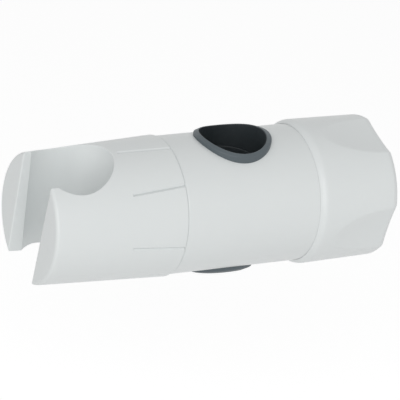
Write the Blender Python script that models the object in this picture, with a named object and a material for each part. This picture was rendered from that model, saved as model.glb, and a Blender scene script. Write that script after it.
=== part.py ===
"""Shower handset holder that clamps on a round riser rail.

The frame: X runs along the barrel from the cradle to the knob, Z is the rail's direction, and
-Y is the front. The origin is where the rail's axis crosses the barrel's axis. Sizes are metres.
"""

import math

import bmesh
import bpy
from mathutils import Matrix, Vector

MM = 0.001

# Clearances
SEAT_GAP = 0.3 * MM             # between a piece and what it is seated in
RUN_GAP = 0.4 * MM              # between the cradle and the barrel it turns on
SNAP_GAP = 0.35 * MM            # round the spindle's tip in the shoe

# Rail hole and its two bushes
RAIL_RADIUS = 9.5 * MM          # for a 19 mm rail
RAIL_CLEARANCE = 0.4 * MM
BUSH_WALL = 0.7 * MM
BUSH_LEDGE = 0.3 * MM           # how far the bore narrows below its mouth
BUSH_LEDGE_HEIGHT = 12.0 * MM   # above the barrel's axis
FLANGE_WIDTH_ALONG = 2.15 * MM  # from the bore to the flange's rim, toward the barrel's ends
FLANGE_WIDTH_ACROSS = 1.3 * MM  # the same, toward the front and the back
FLANGE_RISE_INNER = 1.4 * MM    # above the barrel, at the bore
FLANGE_RISE_OUTER = 1.0 * MM    # above the barrel, at the rim
FLANGE_ROUND = 0.3 * MM
BUSH_TO_SHOE = 0.9 * MM         # from the shoe's top to the bush's inner end

# Barrel of the slider body
BODY_RADIUS = 20.0 * MM
BODY_LEFT = 20.8 * MM           # from the rail's axis to the shoulder at the cradle
BODY_RIGHT = 25.0 * MM          # from the rail's axis to the step under the knob's lip
SHOULDER_ROUND = 2.0 * MM
NECK_STEP = 2.8 * MM            # how much thinner the neck in the knob is than the barrel
NECK_LENGTH = 11.0 * MM
NECK_WALL = 2.4 * MM
EDGE_CHAMFER = 0.6 * MM
RAIL_WALL = 3.0 * MM            # left of the rail hole
CORE_WALL = 3.5 * MM            # right of the rail hole

# Spigot that the cradle turns on
SPIGOT_END_GAP = 1.1 * MM       # between the spigot's end and the floor of the cradle's pocket
SPIGOT_WALL = 2.2 * MM          # under the ring's groove
RING_SECTION = 1.6 * MM
RING_SIDE_GAP = 0.4 * MM

# Cradle
CRADLE_LENGTH = 40.4 * MM
CRADLE_TURN = math.radians(4.9)  # how far it is turned toward the front in the photo
SKIRT_RADIUS = 20.45 * MM
CRADLE_END_RADIUS = 18.9 * MM
SKIRT_WALL = 2.55 * MM
SKIRT_ROUND = 0.3 * MM
END_ROUND = 1.1 * MM
WEB = 1.7 * MM                  # wall between the cone's bore and the barrel's pocket
BORE_RADIUS = 11.15 * MM        # at the barrel's axis
BORE_TAPER = 0.056              # growth of the radius per length, upward
SLOT_HALF = 8.9 * MM            # at the barrel's axis
SLOT_TAPER = 0.028
BORE_FROM_END = 10.0 * MM
RIM_ROUND = 0.25 * MM
MOUTH_ROUND = 0.4 * MM

# Snap tongues of the cradle
TONGUES = 4
TONGUE_ANGLE = math.radians(22.5)        # of the first one, from the top toward the front
TONGUE_HALF_TIP = math.radians(18.4)
TONGUE_HALF_ROOT = math.radians(21.7)
SLIT_WIDTH = 0.6 * MM
TIP_RECESS = 0.5 * MM
HOOK_REACH = 1.2 * MM
HOOK_LENGTH = 2.3 * MM
HOOK_LEAD = 0.9 * MM
HOOK_LEAD_REACH = 0.5 * MM
HOOK_ROOT = 0.6 * MM            # how deep the hook's block is sunk in the tongue

# Clamp shoe and its guide
SHOE_WIDTH = 13.0 * MM
SHOE_HEIGHT = 15.4 * MM
SHOE_BACK = 19.5 * MM           # from the rail's axis, with the clamp open
SHOE_SETBACK = 0.2 * MM         # behind the bush's bore, with the clamp open
SHOE_BEVEL = 0.5 * MM
SHOE_FRONT = 5.0 * MM           # where the blank starts, before the rail's face is cut
GUIDE_WALL = 2.4 * MM
GUIDE_ROOT = 1.2 * MM           # how deep the guide's box is sunk in the core
CLAMP_TRAVEL = 2.5 * MM         # two turns of the knob

# Spindle and nut
THREAD_RADIUS = 4.0 * MM
HEX_ACROSS = 13.0 * MM
HEAD_HEIGHT = 5.3 * MM
NUT_HEIGHT = 6.5 * MM
NUT_SETBACK = 4.5 * MM          # from the shoe's back to the nut
NUT_LEAD = 1.0 * MM             # how far the nut's pocket starts ahead of the nut
NUT_WALL = 3.0 * MM
TIP_RADIUS = 3.3 * MM
TIP_LENGTH = 3.6 * MM
TIP_NECK_RADIUS = 2.4 * MM
TIP_NECK_LENGTH = 3.5 * MM
SCREW_CHAMFER = 0.6 * MM

# Knob
KNOB_LIP = 21.8 * MM            # from the rail's axis to the lip, with the clamp open
KNOB_LENGTH = 26.2 * MM
LIP_WALL = 0.9 * MM             # over the barrel, where the lip's rounding ends
LIP_ROUND = 3.0 * MM
KNOB_TAPER = 0.4 * MM           # how much the radius falls from the lip to the end
KNOB_END_ROUND = 2.4 * MM
KNOB_RIM_WALL = 4.1 * MM
KNOB_END_WALL = 2.8 * MM
HUB_RADIUS = 10.0 * MM
HUB_WALL = 3.2 * MM             # under the spindle's head
CAP_RADIUS = 11.0 * MM
CAP_THICKNESS = 1.7 * MM
CAP_DOME = 0.5 * MM
CAP_DOME_SHARE = 0.9            # of the cap's radius, where the dome starts
CAP_DOME_RINGS = (0.8, 0.5, 0.0)
CAP_ROUND = 0.4 * MM
CAP_SPIGOT_RADIUS = 5.8 * MM

# Flutes of the knob
FLUTES = 4
FLUTE_ANGLE = math.radians(13.5)         # of the first one, from the top toward the front
FLUTE_LONG_RADIUS = 110.0 * MM           # of its floor, along the knob
FLUTE_CROSS_RADIUS = 90.0 * MM           # of its floor, across
FLUTE_DEPTH = 1.9 * MM
FLUTE_DEEPEST_PAST_END = 2.0 * MM
FLUTE_ROWS = 10

# Fineness of round shapes
ROUND = 80
SMALL_ROUND = 32
BORE_ROUND = 64
KNOB_ROUND = 96
CAP_SEGMENTS = 48
RING_STEPS = 8
ARC_STEPS = 4
SMALL_ARC_STEPS = 3
SECTOR_STEPS = 8                # along a tongue's tip and hook
RIM_PASSES = 3                  # to find the height where a wall meets the cradle's cone
SHARP_ANGLE = math.radians(28)
SAME_ANGLE = 1e-6
SAME_PLACE = 1e-4 * MM
REACH = 4.0 * MM                # how far a cutter runs past what it cuts
RIM_SWEEP = 0.93                # share of a rim's full rounding, so that its cut stays clean

# Worked out from the sizes above
RAIL_BORE = RAIL_RADIUS + RAIL_CLEARANCE
BUSH_RADIUS = RAIL_BORE + BUSH_WALL
BUSH_END = SHOE_HEIGHT / 2 + BUSH_TO_SHOE
SKIRT_X = -BODY_LEFT - RUN_GAP
CRADLE_END_X = SKIRT_X - CRADLE_LENGTH
POCKET_RADIUS = SKIRT_RADIUS - SKIRT_WALL
CONE_X = CRADLE_END_X + BORE_FROM_END
SPIGOT_RADIUS = POCKET_RADIUS - RUN_GAP
POCKET_FLOOR_X = CONE_X + BORE_RADIUS + BORE_TAPER * SKIRT_RADIUS + WEB
SPIGOT_END_X = POCKET_FLOOR_X + SPIGOT_END_GAP
TONGUE_TIP_X = SKIRT_X - TIP_RECESS
HOOK_RADIUS = POCKET_RADIUS - HOOK_REACH
HOOK_GROOVE_X = TONGUE_TIP_X - HOOK_LENGTH - SEAT_GAP
HOOK_GROOVE_RADIUS = HOOK_RADIUS - SEAT_GAP
RING_X = (SPIGOT_END_X + HOOK_GROOVE_X) / 2
RING_MID_RADIUS = POCKET_RADIUS - SEAT_GAP - RING_SECTION / 2
RING_GROOVE_RADIUS = RING_MID_RADIUS - RING_SECTION / 2 - SEAT_GAP
SPIGOT_BORE = RING_GROOVE_RADIUS - SPIGOT_WALL
NUT_X = SHOE_BACK + NUT_SETBACK
NUT_WALL_X = NUT_X + NUT_HEIGHT + SEAT_GAP
NECK_RADIUS = BODY_RADIUS - NECK_STEP
NECK_END_X = BODY_RIGHT + NECK_LENGTH
NECK_BORE = NECK_RADIUS - NECK_WALL
TIP_X = SHOE_BACK + SEAT_GAP - TIP_NECK_LENGTH
LIP_BORE = BODY_RADIUS + SEAT_GAP
LIP_RADIUS = LIP_BORE + LIP_WALL
LIP_SWEEP = math.acos(1 - LIP_WALL / LIP_ROUND)
LIP_END_X = KNOB_LIP + LIP_ROUND * math.sin(LIP_SWEEP)
KNOB_END_RADIUS = LIP_RADIUS - KNOB_TAPER
KNOB_STEP_X = BODY_RIGHT + CLAMP_TRAVEL + SEAT_GAP
KNOB_BORE = NECK_RADIUS + SEAT_GAP
KNOB_BORE_END_X = NECK_END_X + CLAMP_TRAVEL + SEAT_GAP
KNOB_END_X = KNOB_LIP + KNOB_LENGTH
CAP_SEAT_X = KNOB_END_X - CAP_THICKNESS - SEAT_GAP
HEAD_END_X = CAP_SEAT_X - RUN_GAP
FLUTE_DEEPEST_X = KNOB_END_X + FLUTE_DEEPEST_PAST_END
HEAD_X = HEAD_END_X - HEAD_HEIGHT
HUB_X = HEAD_X - SEAT_GAP - HUB_WALL
THREAD_BORE = THREAD_RADIUS + SEAT_GAP


def clear_scene():
    """Remove whatever the scene holds."""
    for item in list(bpy.data.objects):
        bpy.data.objects.remove(item, do_unlink=True)


def make_material(name, colour, roughness, metallic=0.0):
    """A plain Principled material."""
    material = bpy.data.materials.new(name)
    material.use_nodes = True
    shader = material.node_tree.nodes["Principled BSDF"]
    shader.inputs["Base Color"].default_value = (*colour, 1.0)
    shader.inputs["Roughness"].default_value = roughness
    shader.inputs["Metallic"].default_value = metallic
    material.diffuse_color = (*colour, 1.0)
    return material


def make_object(name, mesh_maker, material=None, parent=None):
    """Turn a bmesh into an object of the scene."""
    mesh = bpy.data.meshes.new(name)
    mesh_maker.to_mesh(mesh)
    mesh_maker.free()
    mesh.shade_smooth()
    mesh.set_sharp_from_angle(angle=SHARP_ANGLE)
    made = bpy.data.objects.new(name, mesh)
    bpy.context.scene.collection.objects.link(made)
    if material:
        mesh.materials.append(material)
    if parent:
        made.parent = parent
    return made


def make_axis(name, turn=0.0):
    """An empty on the barrel's axis that carries the pieces turning about it."""
    axis = bpy.data.objects.new(name, None)
    axis.rotation_euler = (turn, 0.0, 0.0)
    bpy.context.scene.collection.objects.link(axis)
    return axis


def combine(target, cutter_mesh, name, operation="DIFFERENCE"):
    """Cut a shape from an object, or add it, with a Boolean modifier."""
    cutter = make_object(name, cutter_mesh, parent=target.parent)
    cutter.hide_render = True
    cutter.display_type = "WIRE"
    step = target.modifiers.new(name, "BOOLEAN")
    step.operation = operation
    step.solver = "EXACT"
    step.object = cutter


def round_arc(centre, radius, start, end, steps=ARC_STEPS):
    """Points of an arc in the plane of a profile, angles in degrees."""
    angles = [math.radians(start + (end - start) * i / steps) for i in range(steps + 1)]
    return [(centre[0] + radius * math.cos(a), centre[1] + radius * math.sin(a)) for a in angles]


def turned(profile, segments=ROUND, closed=False, start=0.0, sweep=2 * math.pi):
    """Spin a profile of (x, radius) points about X, a full turn or a sector.

    An open profile starts and ends on the axis. Angles run from the top toward the front.
    """
    mesh = bmesh.new()
    begin = Matrix.Rotation(start, 3, "X")
    verts = [mesh.verts.new(begin @ Vector((x, 0.0, r))) for x, r in profile]
    edges = [mesh.edges.new(pair) for pair in zip(verts, verts[1:])]
    if closed:
        edges.append(mesh.edges.new((verts[-1], verts[0])))
    full = abs(sweep - 2 * math.pi) < SAME_ANGLE
    spun = verts + edges if full else [mesh.faces.new(verts)]
    bmesh.ops.spin(
        mesh, geom=spun, axis=(1, 0, 0), cent=(0, 0, 0), angle=sweep, steps=segments,
        use_merge=full, use_duplicate=False)
    bmesh.ops.remove_doubles(mesh, verts=mesh.verts, dist=SAME_PLACE)
    bmesh.ops.recalc_face_normals(mesh, faces=mesh.faces)
    return mesh


def rod(x0, x1, radius, segments=SMALL_ROUND):
    """A plain cylinder along X."""
    return turned([(x0, 0.0), (x0, radius), (x1, radius), (x1, 0.0)], segments)


def upright_rod(radius, half_height, segments=BORE_ROUND):
    """A plain cylinder along Z about the origin."""
    mesh = bmesh.new()
    bmesh.ops.create_cone(
        mesh, cap_ends=True, segments=segments, radius1=radius, radius2=radius,
        depth=2 * half_height)
    return mesh


def block(low, high):
    """A box between two corners."""
    mesh = bmesh.new()
    bmesh.ops.create_cube(mesh, size=1.0)
    low, high = Vector(low), Vector(high)
    size = high - low
    for vert in mesh.verts:
        vert.co = Vector((low[i] + (vert.co[i] + 0.5) * size[i] for i in range(3)))
    return mesh


def hexagon(x0, x1, across, chamfer=0.0):
    """A hexagonal prism along X, with corners at the top and the bottom."""
    corner = across / math.sqrt(3)
    mesh = bmesh.new()
    spin = Matrix.Translation(((x0 + x1) / 2, 0, 0)) @ Matrix.Rotation(math.pi / 2, 4, "Y")
    bmesh.ops.create_cone(
        mesh, cap_ends=True, segments=6, radius1=corner, radius2=corner, depth=x1 - x0,
        matrix=spin)
    lean = max(math.hypot(v.co.y, v.co.z) for v in mesh.verts)
    top = max(mesh.verts, key=lambda v: v.co.z)
    if abs(top.co.z - lean) > SAME_PLACE:
        bmesh.ops.rotate(
            mesh, verts=mesh.verts, cent=(0, 0, 0), matrix=Matrix.Rotation(math.pi / 6, 3, "X"))
    if chamfer:
        ends = [e for e in mesh.edges if abs(e.verts[0].co.x - e.verts[1].co.x) < SAME_PLACE]
        bmesh.ops.bevel(
            mesh, geom=ends, offset=chamfer, affect="EDGES", segments=1, profile=0.5,
            material=-1)
    return mesh


def skin_rings(rings, cap=False):
    """Join rings of equally many points one after the other, in a loop or with flat ends."""
    mesh = bmesh.new()
    rows = [[mesh.verts.new(point) for point in ring] for ring in rings]
    count = len(rows[0])
    pairs = list(zip(rows, rows[1:]))
    if cap:
        mesh.faces.new(rows[0])
        mesh.faces.new(rows[-1])
    else:
        pairs.append((rows[-1], rows[0]))
    for a, b in pairs:
        for i in range(count):
            j = (i + 1) % count
            mesh.faces.new((a[i], a[j], b[j], b[i]))
    bmesh.ops.recalc_face_normals(mesh, faces=mesh.faces)
    return mesh


def cradle_radius(x):
    """Radius of the cradle's conical outside."""
    share = (x - CRADLE_END_X) / CRADLE_LENGTH
    return CRADLE_END_RADIUS + (SKIRT_RADIUS - CRADLE_END_RADIUS) * share


def bore_outline(level):
    """The cone's bore at a height, as a loop of points with their outward normals."""
    radius = BORE_RADIUS + BORE_TAPER * level
    angles = [2 * math.pi * i / BORE_ROUND for i in range(BORE_ROUND)]
    normals = [(math.cos(a), math.sin(a)) for a in angles]
    return [((CONE_X + radius * nx, radius * ny), (nx, ny)) for nx, ny in normals]


def slot_outline(level):
    """The slot at a height, from the cone's axis out past the end, with its rounded mouth."""
    half = SLOT_HALF + SLOT_TAPER * level
    mouth = round_arc((CRADLE_END_X + MOUTH_ROUND, half + MOUTH_ROUND), MOUTH_ROUND, 270, 180)
    side = [(CONE_X, half)] + mouth + [(CRADLE_END_X - REACH, half + MOUTH_ROUND)]
    far = [((x, y), (0.0, 1.0)) for x, y in side]
    near = [((x, -y), (0.0, -1.0)) for x, y in reversed(side)]
    return far + near


def rim_column(outline_at, index, sign):
    """Points up one line of a cutter's wall, from the middle to clear of the cradle.

    The line bends outward in an arc that rounds the rim where the wall meets the cone.
    """
    level = sign * SKIRT_RADIUS / 2
    for _ in range(RIM_PASSES):
        (x, y), (nx, ny) = outline_at(level)[index]
        radius = cradle_radius(x)
        height = math.sqrt(radius ** 2 - y ** 2)
        level = sign * height
    cone_slope = (SKIRT_RADIUS - CRADLE_END_RADIUS) / CRADLE_LENGTH
    lean = math.atan2(y * ny - radius * cone_slope * nx, height)
    centre = height - RIM_ROUND * (1 + math.sin(lean)) / math.cos(lean)
    sweep = RIM_SWEEP * (math.pi / 2 + lean)
    points = []
    for i in range(ARC_STEPS + 1):
        turn = math.pi - sweep * i / ARC_STEPS
        points.append((RIM_ROUND * (1 + math.cos(turn)), centre + RIM_ROUND * math.sin(turn)))
    tangent = math.pi / 2 - sweep
    out, up = points[-1]
    points.append((out + RIM_ROUND * math.cos(tangent), up + RIM_ROUND * math.sin(tangent)))
    points.append((points[-1][0], SKIRT_RADIUS + REACH))
    return [(x + nx * out, y + ny * out, sign * up) for out, up in points]


def saddle_cutter(outline_at):
    """A cutter through the cradle whose upper and lower rims are rounded to the cone."""
    columns = []
    for index in range(len(outline_at(0.0))):
        low = rim_column(outline_at, index, -1)
        columns.append(low[::-1] + rim_column(outline_at, index, 1))
    return skin_rings([list(ring) for ring in zip(*columns)], cap=True)


def slit_cutter(centre, side):
    """One slit beside a snap tongue: a thin plate that leans with the tongue's edge."""
    mesh = bmesh.new()
    bmesh.ops.create_cube(mesh, size=2.0)
    middle = centre + side * (TONGUE_HALF_TIP + TONGUE_HALF_ROOT) / 2
    out = Vector((0.0, -math.sin(middle), math.cos(middle)))
    across = Vector((0.0, math.cos(middle), math.sin(middle)))
    length = SKIRT_X - POCKET_FLOOR_X
    lean = side * SKIRT_RADIUS * (TONGUE_HALF_ROOT - TONGUE_HALF_TIP) / length
    middle_x = (SKIRT_X + POCKET_FLOOR_X) / 2
    for vert in mesh.verts:
        x = SKIRT_X + REACH if vert.co.x > 0 else POCKET_FLOOR_X
        radius = SKIRT_RADIUS + REACH if vert.co.z > 0 else HOOK_GROOVE_RADIUS
        shift = vert.co.y * SLIT_WIDTH / 2 + lean * (x - middle_x)
        vert.co = Vector((x, 0, 0)) + out * radius + across * shift
    return mesh


def build_cradle(material, axis):
    """The white moulding that takes the handset."""
    profile = [(POCKET_FLOOR_X, 0.0), (POCKET_FLOOR_X, POCKET_RADIUS), (SKIRT_X, POCKET_RADIUS)]
    profile += round_arc(
        (SKIRT_X - SKIRT_ROUND, SKIRT_RADIUS - SKIRT_ROUND), SKIRT_ROUND, 0, 90, SMALL_ARC_STEPS)
    profile += round_arc(
        (CRADLE_END_X + END_ROUND, CRADLE_END_RADIUS - END_ROUND), END_ROUND, 90, 180)
    profile.append((CRADLE_END_X, 0.0))
    cradle = make_object("handset_cradle", turned(profile), material, axis)
    combine(cradle, saddle_cutter(bore_outline), "cut_bore")
    combine(cradle, saddle_cutter(slot_outline), "cut_slot")
    hook_half = TONGUE_HALF_TIP - SLIT_WIDTH / HOOK_RADIUS
    root = POCKET_RADIUS + HOOK_ROOT
    hook = [
        (TONGUE_TIP_X, root), (TONGUE_TIP_X, POCKET_RADIUS - HOOK_LEAD_REACH),
        (TONGUE_TIP_X - HOOK_LEAD, HOOK_RADIUS), (TONGUE_TIP_X - HOOK_LENGTH, HOOK_RADIUS),
        (TONGUE_TIP_X - HOOK_LENGTH, root)]
    tip_half = TONGUE_HALF_TIP + SLIT_WIDTH / 4 / POCKET_RADIUS
    tip = [
        (TONGUE_TIP_X, HOOK_RADIUS), (SKIRT_X + REACH, HOOK_RADIUS),
        (SKIRT_X + REACH, SKIRT_RADIUS + REACH), (TONGUE_TIP_X, SKIRT_RADIUS + REACH)]
    for index in range(TONGUES):
        centre = TONGUE_ANGLE + index * 2 * math.pi / TONGUES
        for side in (-1, 1):
            label = "low" if side > 0 else "high"
            combine(cradle, slit_cutter(centre, side), f"cut_slit_{index}_{label}")
        recess = turned(tip, SECTOR_STEPS, True, centre - tip_half, 2 * tip_half)
        combine(cradle, recess, f"cut_tip_{index}")
        catch = turned(hook, SECTOR_STEPS, True, centre - hook_half, 2 * hook_half)
        combine(cradle, catch, f"add_hook_{index}", "UNION")
    return cradle


def build_body(material):
    """The white barrel that rides on the rail."""
    left_floor = -(BUSH_RADIUS + SEAT_GAP + RAIL_WALL)
    right_floor = BUSH_RADIUS + SEAT_GAP + CORE_WALL
    profile = [(left_floor, 0.0), (left_floor, SPIGOT_BORE), (SPIGOT_END_X, SPIGOT_BORE)]
    profile.append((SPIGOT_END_X, SPIGOT_RADIUS - EDGE_CHAMFER))
    profile.append((SPIGOT_END_X + EDGE_CHAMFER, SPIGOT_RADIUS))
    half = RING_SECTION / 2 + RING_SIDE_GAP
    profile += [(RING_X - half, SPIGOT_RADIUS), (RING_X - half, RING_GROOVE_RADIUS)]
    profile += [(RING_X + half, RING_GROOVE_RADIUS), (RING_X + half, SPIGOT_RADIUS)]
    profile += [(HOOK_GROOVE_X, SPIGOT_RADIUS), (HOOK_GROOVE_X, HOOK_GROOVE_RADIUS)]
    profile.append((-BODY_LEFT, HOOK_GROOVE_RADIUS))
    profile += round_arc(
        (-BODY_LEFT + SHOULDER_ROUND, BODY_RADIUS - SHOULDER_ROUND), SHOULDER_ROUND, 180, 90)
    profile += [(BODY_RIGHT, BODY_RADIUS), (BODY_RIGHT, NECK_RADIUS)]
    profile += [(NECK_END_X - EDGE_CHAMFER, NECK_RADIUS), (NECK_END_X, NECK_RADIUS - EDGE_CHAMFER)]
    profile += [(NECK_END_X, NECK_BORE), (right_floor, NECK_BORE), (right_floor, 0.0)]
    body = make_object("slider_body", turned(profile), material)

    guide_y = SHOE_WIDTH / 2 + SEAT_GAP
    guide_z = SHOE_HEIGHT / 2 + SEAT_GAP
    box_end = NUT_WALL_X + NUT_WALL
    combine(body, block(
        (right_floor - GUIDE_ROOT, -guide_y - GUIDE_WALL, -guide_z - GUIDE_WALL),
        (box_end, guide_y + GUIDE_WALL, guide_z + GUIDE_WALL)), "add_guide_box", "UNION")
    combine(body, upright_rod(BUSH_RADIUS + SEAT_GAP, BODY_RADIUS + REACH), "cut_rail_hole")
    combine(body, block((0, -guide_y, -guide_z), (NUT_X, guide_y, guide_z)), "cut_guide")
    pocket = hexagon(NUT_X - NUT_LEAD, NUT_WALL_X, HEX_ACROSS + 2 * SEAT_GAP)
    combine(body, pocket, "cut_nut_pocket")
    combine(body, rod(NUT_X, box_end + REACH, THREAD_BORE), "cut_spindle_hole")
    return body


def bush_section(angle):
    """The bush's closed profile at an angle from +X about the rail, as (distance, height) points."""
    along, across = math.cos(angle), math.sin(angle)
    width = FLANGE_WIDTH_ALONG * along ** 2 + FLANGE_WIDTH_ACROSS * across ** 2
    rim = RAIL_BORE + width
    ledge = RAIL_BORE - BUSH_LEDGE
    inner_top = BODY_RADIUS + FLANGE_RISE_INNER
    outer_top = BODY_RADIUS + FLANGE_RISE_OUTER
    under = BODY_RADIUS + SEAT_GAP
    drop = FLANGE_ROUND * (1 - math.sqrt(0.5))
    # Each corner of the flange: distance from the rail's axis, and radius about the barrel's axis
    flange = [
        (RAIL_BORE, inner_top - FLANGE_ROUND), (RAIL_BORE + drop, inner_top - drop),
        (RAIL_BORE + FLANGE_ROUND, inner_top), (rim - FLANGE_ROUND, outer_top),
        (rim - drop, outer_top - drop), (rim, outer_top - FLANGE_ROUND), (rim, under),
        (BUSH_RADIUS, under)]
    section = [(r, math.sqrt(reach ** 2 - (r * across) ** 2)) for r, reach in flange]
    return section + [
        (BUSH_RADIUS, BUSH_END), (ledge, BUSH_END), (ledge, BUSH_LEDGE_HEIGHT),
        (RAIL_BORE, BUSH_LEDGE_HEIGHT + BUSH_LEDGE)]


def build_bush(name, material, side):
    """One flanged bush of the rail hole, above (side 1) or below (side -1) the barrel's axis."""
    rings = []
    for step in range(BORE_ROUND):
        angle = 2 * math.pi * step / BORE_ROUND
        rings.append([
            (r * math.cos(angle), r * math.sin(angle), side * z) for r, z in bush_section(angle)])
    return make_object(name, skin_rings(rings), material)


def build_ring(material):
    """The rubber ring on the spigot."""
    circle = round_arc((RING_X, RING_MID_RADIUS), RING_SECTION / 2, 0, 360, RING_STEPS)[:-1]
    return make_object("swivel_o_ring", turned(circle, BORE_ROUND, closed=True), material)


def build_shoe(material):
    """The pad that the spindle presses on the rail."""
    mesh = block(
        (SHOE_FRONT, -SHOE_WIDTH / 2, -SHOE_HEIGHT / 2), (SHOE_BACK, SHOE_WIDTH / 2, SHOE_HEIGHT / 2))
    long_edges = [e for e in mesh.edges if abs(e.verts[0].co.x - e.verts[1].co.x) > SAME_PLACE]
    bmesh.ops.bevel(
        mesh, geom=long_edges, offset=SHOE_BEVEL, affect="EDGES", segments=1, profile=0.5,
        material=-1)
    shoe = make_object("clamp_shoe", mesh, material)
    combine(shoe, upright_rod(RAIL_BORE + SHOE_SETBACK, SHOE_HEIGHT), "cut_rail_face")
    combine(shoe, rod(
        TIP_X - TIP_LENGTH - SNAP_GAP, TIP_X + SNAP_GAP, TIP_RADIUS + SNAP_GAP), "cut_snap_chamber")
    combine(shoe, rod(TIP_X, SHOE_BACK + REACH, TIP_NECK_RADIUS + SNAP_GAP), "cut_snap_mouth")
    return shoe


def build_spindle(material, axis):
    """The screw that the knob turns."""
    tip_start = TIP_X - TIP_LENGTH
    shank = TIP_X + TIP_NECK_LENGTH
    cut = SCREW_CHAMFER
    profile = [(tip_start, 0.0), (tip_start, TIP_RADIUS - cut), (tip_start + cut, TIP_RADIUS)]
    profile += [(TIP_X, TIP_RADIUS), (TIP_X, TIP_NECK_RADIUS), (shank, TIP_NECK_RADIUS)]
    profile += [(shank, THREAD_RADIUS - cut), (shank + cut, THREAD_RADIUS)]
    profile += [(HEAD_X + HEAD_HEIGHT / 2, THREAD_RADIUS), (HEAD_X + HEAD_HEIGHT / 2, 0.0)]
    spindle = make_object("clamp_spindle", turned(profile, SMALL_ROUND), material, axis)
    combine(spindle, hexagon(HEAD_X, HEAD_END_X, HEX_ACROSS, SCREW_CHAMFER), "add_head", "UNION")
    return spindle


def build_nut(material):
    """The nut that the spindle turns in."""
    nut = make_object(
        "clamp_nut", hexagon(NUT_X, NUT_X + NUT_HEIGHT, HEX_ACROSS, SCREW_CHAMFER), material)
    combine(nut, rod(NUT_X - REACH, NUT_WALL_X + REACH, THREAD_BORE), "cut_thread")
    return nut


def knob_radius(x, angle):
    """Radius of the knob's outside, with its flutes, angles from the top toward the front."""
    share = (x - LIP_END_X) / (KNOB_END_X - KNOB_END_ROUND - LIP_END_X)
    cone = LIP_RADIUS + (KNOB_END_RADIUS - LIP_RADIUS) * share
    pitch = 2 * math.pi / FLUTES
    away = (angle - FLUTE_ANGLE + pitch / 2) % pitch - pitch / 2
    floor = KNOB_END_RADIUS - FLUTE_DEPTH + (x - FLUTE_DEEPEST_X) ** 2 / (2 * FLUTE_LONG_RADIUS)
    bend = math.sin(away) ** 2 / (2 * FLUTE_CROSS_RADIUS)
    root = math.sqrt(math.cos(away) ** 2 - 4 * bend * floor)
    return min(cone, 2 * floor / (math.cos(away) + root))


def knob_section(angle):
    """The knob's closed profile of (x, radius) points at an angle."""
    lip_start = 90 + math.degrees(LIP_SWEEP)
    section = round_arc((LIP_END_X, LIP_RADIUS - LIP_ROUND), LIP_ROUND, lip_start, 90)
    stop = KNOB_END_X - KNOB_END_ROUND
    for row in range(1, FLUTE_ROWS):
        x = LIP_END_X + (stop - LIP_END_X) * row / FLUTE_ROWS
        section.append((x, knob_radius(x, angle)))
    for x, drop in round_arc((stop, -KNOB_END_ROUND), KNOB_END_ROUND, 90, 0):
        section.append((x, knob_radius(x, angle) + drop))
    section += [(KNOB_END_X, CAP_RADIUS + SEAT_GAP), (CAP_SEAT_X, CAP_RADIUS + SEAT_GAP)]
    section += [(CAP_SEAT_X, THREAD_BORE), (HUB_X, THREAD_BORE), (HUB_X, HUB_RADIUS)]
    pocket_end = KNOB_END_X - KNOB_END_WALL
    pocket_radius = KNOB_END_RADIUS - KNOB_RIM_WALL
    section += [(pocket_end, HUB_RADIUS), (pocket_end, pocket_radius)]
    section += [(KNOB_BORE_END_X, pocket_radius), (KNOB_BORE_END_X, KNOB_BORE)]
    section += [(KNOB_STEP_X, KNOB_BORE), (KNOB_STEP_X, LIP_BORE)]
    return section


def build_knob(material, axis):
    """The white knob with its flutes."""
    rings = []
    for step in range(KNOB_ROUND):
        angle = 2 * math.pi * step / KNOB_ROUND
        rings.append([
            (x, -r * math.sin(angle), r * math.cos(angle)) for x, r in knob_section(angle)])
    knob = make_object("clamp_knob", skin_rings(rings), material, axis)
    pocket = hexagon(HEAD_X - SEAT_GAP, CAP_SEAT_X + REACH, HEX_ACROSS + 2 * SEAT_GAP)
    combine(knob, pocket, "cut_head_pocket")
    return knob


def build_cap(material, axis):
    """The disc that closes the knob's end."""
    back = CAP_SEAT_X + SEAT_GAP
    face = KNOB_END_X
    profile = [(HEAD_END_X + SEAT_GAP, 0.0), (HEAD_END_X + SEAT_GAP, CAP_SPIGOT_RADIUS)]
    profile += [(back, CAP_SPIGOT_RADIUS), (back, CAP_RADIUS)]
    profile += round_arc(
        (face - CAP_ROUND, CAP_RADIUS - CAP_ROUND), CAP_ROUND, 90, 0, SMALL_ARC_STEPS)
    for share in CAP_DOME_RINGS:
        rise = CAP_DOME * (1 - share * share)
        profile.append((face + rise, CAP_RADIUS * CAP_DOME_SHARE * share))
    return make_object("knob_cap", turned(profile, CAP_SEGMENTS), material, axis)


def main():
    """Build the holder."""
    clear_scene()
    white = make_material("white_plastic", (0.72, 0.74, 0.74), 0.32)
    grey = make_material("grey_plastic", (0.10, 0.12, 0.13), 0.45)
    rubber = make_material("black_rubber", (0.02, 0.02, 0.02), 0.7)
    nylon = make_material("grey_nylon", (0.12, 0.13, 0.14), 0.5)
    steel = make_material("zinc_steel", (0.55, 0.56, 0.57), 0.35, 1.0)
    brass = make_material("brass", (0.70, 0.52, 0.25), 0.35, 1.0)

    cradle_axis = make_axis("cradle_axis", CRADLE_TURN)
    knob_axis = make_axis("knob_axis")
    build_cradle(white, cradle_axis)
    build_body(white)
    build_ring(rubber)
    build_bush("rail_bush_upper", grey, 1)
    build_bush("rail_bush_lower", grey, -1)
    build_shoe(nylon)
    build_nut(brass)
    build_spindle(steel, knob_axis)
    build_knob(white, knob_axis)
    build_cap(white, knob_axis)


main()
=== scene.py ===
"""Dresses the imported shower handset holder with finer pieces, finishes, light and a camera.

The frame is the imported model's, in metres: X runs along the barrel toward the knob, Z up the
rail, and -Y is the front. The origin is where the rail's axis crosses the barrel's axis.
"""

from __future__ import annotations

import logging
import math
from dataclasses import dataclass
from enum import Enum
from typing import Any, Callable, Optional, Sequence, Union

import bmesh
import bpy
from mathutils import Matrix, Vector

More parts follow.
